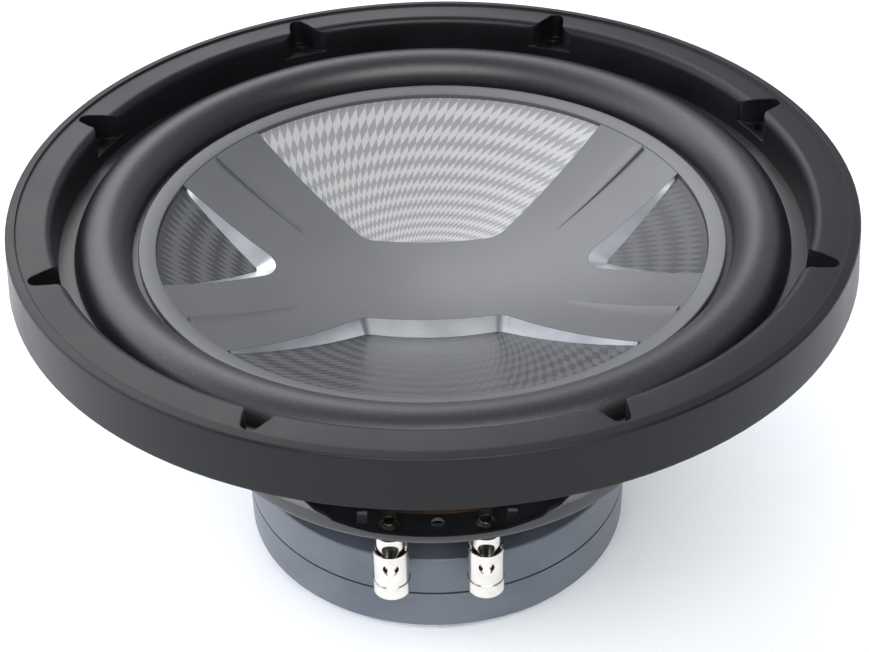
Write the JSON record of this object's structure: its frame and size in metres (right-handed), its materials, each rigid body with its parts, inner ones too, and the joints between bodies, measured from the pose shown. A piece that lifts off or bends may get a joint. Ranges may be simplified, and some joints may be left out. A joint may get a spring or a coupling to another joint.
{
  "type": "car subwoofer speaker",
  "caption": "Round car subwoofer driver with a dished cone behind a cross-shaped plate, foam roll surround, stamped basket, ring magnet motor and push terminals.",
  "frame": {"origin": "centre of the bounding box's lowest face, which is the speaker's axis at the back plate's rear face", "axes": "+Z along the speaker's axis towards the front, -Y towards the terminals"},
  "size_m": [0.3256, 0.3256, 0.163],
  "materials": {
    "trim_plastic": "fine satin grain, moulded black plastic",
    "basket_steel": "satin black powder coat on stamped steel",
    "foam_rubber": "matt, faintly speckled foam rubber",
    "cone_plastic": "injection moulded polypropylene",
    "satin_grey": "satin grey metallic paint on moulded plastic",
    "patterned_film": "printed lozenge pattern under clear film",
    "former_film": "amber polyimide film",
    "copper_wire": "enamelled copper wire",
    "treated_cloth": "resin treated woven cloth",
    "plated_iron": "black plated iron",
    "ferrite": "satin grey coated ferrite",
    "zinc_iron": "bright zinc plated iron",
    "screw_steel": "zinc plated",
    "nickel": "bright nickel plated brass",
    "spring_steel": "bright spring wire",
    "fibre": "vulcanised fibre",
    "tinned_brass": "tinned brass",
    "copper_braid": "braided copper over a cotton core"
  },
  "bodies": {
    "frame": {"trim_ring": "trim_plastic", "basket": "basket_steel", "basket_flange": "basket_steel", "basket_cup": "basket_steel", "surround": "foam_rubber", "spider": "treated_cloth", "top_plate": "plated_iron", "magnet_front": "ferrite", "magnet_rear": "ferrite", "yoke": "zinc_iron", "motor_screws": "screw_steel", "post_left": "nickel", "post_right": "nickel", "spring_left": "spring_steel", "spring_right": "spring_steel", "insulators": "fibre", "solder_tab_left": "tinned_brass", "solder_tab_right": "tinned_brass", "terminal_rivets": "tinned_brass", "lead_left": "copper_braid", "lead_right": "copper_braid"},
    "diaphragm": {"cone": "cone_plastic", "cone_ring": "satin_grey", "front_plate": "satin_grey", "insert_top": "patterned_film", "insert_bottom": "patterned_film", "insert_left": "patterned_film", "insert_right": "patterned_film", "voice_coil_former": "former_film", "voice_coil_winding": "copper_wire"},
    "push_sleeve_left": {"sleeve_left": "nickel"},
    "push_sleeve_right": {"sleeve_right": "nickel"}
  },
  "joints": [
    {"name": "cone_travel", "type": "slide", "parent": "frame", "child": "diaphragm", "axis": [0, 0, 1], "range_m": [-0.01, 0.01], "stiffness_N_per_m": 5000, "deforming": ["surround", "spider", "lead_left", "lead_right"]},
    {"name": "press_left", "type": "slide", "parent": "frame", "child": "push_sleeve_left", "axis": [0, 0, 1], "range_m": [0, 0.008], "stiffness_N_per_m": 600, "springref_m": -0.002, "deforming": ["spring_left"]},
    {"name": "press_right", "type": "slide", "parent": "frame", "child": "push_sleeve_right", "axis": [0, 0, 1], "range_m": [0, 0.008], "stiffness_N_per_m": 600, "springref_m": -0.002, "deforming": ["spring_right"]}
  ]
}
